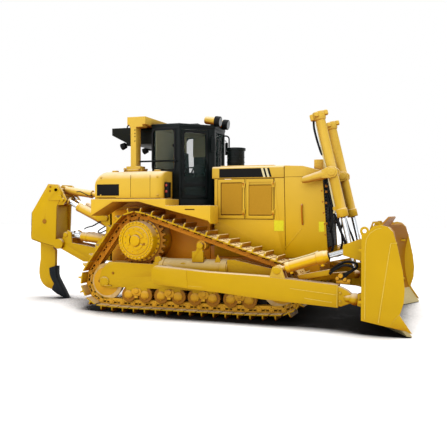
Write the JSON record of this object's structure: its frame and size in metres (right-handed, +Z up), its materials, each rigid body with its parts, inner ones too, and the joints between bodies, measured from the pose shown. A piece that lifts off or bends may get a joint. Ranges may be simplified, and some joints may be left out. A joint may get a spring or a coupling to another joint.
{
  "type": "bulldozer",
  "caption": "Crawler bulldozer with a raised-sprocket oval track each side, wide curved front blade on push arms, enclosed cab and a rear ripper.",
  "frame": {"origin": "on the ground, under the middle of the machine's overall box", "axes": "+X forward towards the blade, +Y to the machine's left, +Z up"},
  "size_m": [7.7594, 3.94, 3.6431],
  "materials": {
    "yellow_paint": "semi-gloss",
    "black_paint": "satin",
    "tinted_glass": "gloss",
    "chrome_rod": "polished",
    "worn_steel": "worn",
    "radiator_core": "matte",
    "dark_grille": "satin",
    "seat_fabric": "matte",
    "dark_plastic": "matte",
    "lamp_housing": "satin"
  },
  "bodies": {
    "chassis": {"main_frame": "yellow_paint", "rear_case": "yellow_paint", "engine_block": "black_paint", "radiator": "radiator_core", "radiator_guard": "yellow_paint", "front_grille": "dark_grille", "hood": "yellow_paint", "engine_side_panels": "yellow_paint", "precleaner": "black_paint", "fenders": "yellow_paint", "hydraulic_tank": "yellow_paint", "tool_box": "yellow_paint", "fuel_tank": "yellow_paint", "roll_bar": "yellow_paint", "air_conditioner": "black_paint", "cab_frame": "black_paint", "cab_roof": "black_paint", "cab_glass": "tinted_glass", "operator_seat": "seat_fabric", "control_console": "dark_plastic", "work_lamps": "lamp_housing", "hand_rails": "black_paint", "final_drives": "yellow_paint", "sprockets": "yellow_paint", "idlers": "yellow_paint", "track_rollers": "yellow_paint", "roller_frames": "yellow_paint", "carrier_rollers": "yellow_paint", "carrier_brackets": "yellow_paint", "pivot_shafts": "worn_steel", "equalizer_bar": "yellow_paint", "left_track": "yellow_paint", "right_track": "yellow_paint", "trunnions": "yellow_paint", "lift_cylinder_yokes": "yellow_paint", "ripper_bracket": "yellow_paint"},
    "push_arms": {"push_arms": "yellow_paint"},
    "blade": {"blade": "yellow_paint", "cutting_edge": "worn_steel"},
    "lift_cylinder_barrels": {"lift_cylinder_barrels": "yellow_paint"},
    "lift_cylinder_rods": {"lift_cylinder_rods": "chrome_rod"},
    "tilt_cylinder_barrels": {"tilt_cylinder_barrels": "yellow_paint"},
    "tilt_cylinder_rods": {"tilt_cylinder_rods": "chrome_rod"},
    "ripper_lower_link": {"ripper_lower_link": "yellow_paint"},
    "ripper_carriage": {"ripper_carriage": "yellow_paint", "ripper_shank": "yellow_paint", "ripper_tooth": "worn_steel"},
    "ripper_upper_cylinder": {"ripper_upper_cylinder": "yellow_paint"},
    "ripper_lift_barrels": {"ripper_lift_barrels": "yellow_paint"},
    "ripper_lift_rods": {"ripper_lift_rods": "chrome_rod"},
    "ripper_lower_barrels": {"ripper_lower_barrels": "yellow_paint"},
    "ripper_lower_rods": {"ripper_lower_rods": "chrome_rod"},
    "right_cab_door": {"right_cab_door": "black_paint", "right_cab_door_glass": "tinted_glass"},
    "left_cab_door": {"left_cab_door": "black_paint", "left_cab_door_glass": "tinted_glass"},
    "right_rear_engine_door": {"right_rear_engine_door": "yellow_paint"},
    "right_front_engine_door": {"right_front_engine_door": "yellow_paint"},
    "left_rear_engine_door": {"left_rear_engine_door": "yellow_paint"},
    "left_front_engine_door": {"left_front_engine_door": "yellow_paint"}
  },
  "joints": [
    {"name": "blade_lift", "type": "hinge", "parent": "chassis", "child": "push_arms", "pos_m": [-0.29968, 0, 0.73], "axis": [0, -1, 0], "range_deg": [-8, 17]},
    {"name": "blade_pitch", "type": "hinge", "parent": "push_arms", "child": "blade", "pos_m": [3.02032, 0, 0.48], "axis": [0, -1, 0], "range_deg": [-5, 5]},
    {"name": "lift_barrel_swing", "type": "hinge", "parent": "chassis", "child": "lift_cylinder_barrels", "pos_m": [2.50932, 0, 2.5], "axis": [0, -1, 0], "range_deg": [-2.97, 6.25]},
    {"name": "lift_rod_slide", "type": "slide", "parent": "lift_cylinder_barrels", "child": "lift_cylinder_rods", "axis": [0.2329, 0, -0.9725], "range_m": [-0.9489, 0.4476]},
    {"name": "tilt_barrel_swing", "type": "hinge", "parent": "push_arms", "child": "tilt_cylinder_barrels", "pos_m": [1.78032, 0, 0.88], "axis": [0, -1, 0], "range_deg": [-0.494, 0.494]},
    {"name": "tilt_rod_slide", "type": "slide", "parent": "tilt_cylinder_barrels", "child": "tilt_cylinder_rods", "axis": [0.9557, 0, 0.2944], "range_m": [-0.0669, 0.0669]},
    {"name": "ripper_lift", "type": "hinge", "parent": "chassis", "child": "ripper_lower_link", "pos_m": [-2.07968, 0, 1], "axis": [0, 1, 0], "range_deg": [-40, 30]},
    {"name": "ripper_carriage_swing", "type": "hinge", "parent": "ripper_lower_link", "child": "ripper_carriage", "pos_m": [-3.19968, 0, 1.16], "axis": [0, 1, 0], "range_deg": [-30.05, 40.05]},
    {"name": "ripper_upper_swing", "type": "hinge", "parent": "chassis", "child": "ripper_upper_cylinder", "pos_m": [-2.11968, 0, 2.12], "axis": [0, 1, 0], "range_deg": [-40.05, 30.05]},
    {"name": "ripper_lift_barrel_swing", "type": "hinge", "parent": "chassis", "child": "ripper_lift_barrels", "pos_m": [-1.99968, 0, 1.545], "axis": [0, 1, 0], "range_deg": [-36.77, 27.59]},
    {"name": "ripper_lift_rod_slide", "type": "slide", "parent": "ripper_lift_barrels", "child": "ripper_lift_rods", "axis": [-0.9025, 0, 0.4307], "range_m": [-0.2184, 0.1643]},
    {"name": "ripper_lower_barrel_swing", "type": "hinge", "parent": "chassis", "child": "ripper_lower_barrels", "pos_m": [-2.01968, 0, 1.23], "axis": [0, 1, 0], "range_deg": [-37.96, 28.48]},
    {"name": "ripper_lower_rod_slide", "type": "slide", "parent": "ripper_lower_barrels", "child": "ripper_lower_rods", "axis": [-0.9935, 0, 0.1142], "range_m": [-0.1248, 0.1658]},
    {"name": "right_rear_engine_door_hinge", "type": "hinge", "parent": "chassis", "child": "right_rear_engine_door", "pos_m": [0.91932, -0.581, 2.056], "axis": [0, 0, 1], "range_deg": [0, 90]},
    {"name": "left_rear_engine_door_hinge", "type": "hinge", "parent": "chassis", "child": "left_rear_engine_door", "pos_m": [0.91932, 0.581, 2.056], "axis": [0, 0, -1], "range_deg": [0, 90]},
    {"name": "right_front_engine_door_hinge", "type": "hinge", "parent": "chassis", "child": "right_front_engine_door", "pos_m": [1.46932, -0.581, 2.056], "axis": [0, 0, 1], "range_deg": [0, 90]},
    {"name": "left_front_engine_door_hinge", "type": "hinge", "parent": "chassis", "child": "left_front_engine_door", "pos_m": [1.46932, 0.581, 2.056], "axis": [0, 0, -1], "range_deg": [0, 90]},
    {"name": "right_cab_door_hinge", "type": "hinge", "parent": "chassis", "child": "right_cab_door", "pos_m": [-0.21605, -0.77835, 2.6], "axis": [0, 0, -1], "range_deg": [0, 100]},
    {"name": "left_cab_door_hinge", "type": "hinge", "parent": "chassis", "child": "left_cab_door", "pos_m": [-0.21605, 0.77835, 2.6], "axis": [0, 0, 1], "range_deg": [0, 100]}
  ],
  "couplings": [
    {"joint": "lift_barrel_swing", "follows": "blade_lift", "ratio": 0.365},
    {"joint": "lift_rod_slide", "follows": "blade_lift", "m_per_rad": -3.1913},
    {"joint": "tilt_barrel_swing", "follows": "blade_pitch", "ratio": 0.0888},
    {"joint": "tilt_rod_slide", "follows": "blade_pitch", "m_per_rad": -0.7437},
    {"joint": "ripper_carriage_swing", "follows": "ripper_lift", "ratio": -1},
    {"joint": "ripper_upper_swing", "follows": "ripper_lift", "ratio": 1},
    {"joint": "ripper_lift_barrel_swing", "follows": "ripper_lift", "ratio": 0.9181},
    {"joint": "ripper_lift_rod_slide", "follows": "ripper_lift", "m_per_rad": 0.31},
    {"joint": "ripper_lower_barrel_swing", "follows": "ripper_lift", "ratio": 0.9478},
    {"joint": "ripper_lower_rod_slide", "follows": "ripper_lift", "m_per_rad": -0.2346}
  ]
}
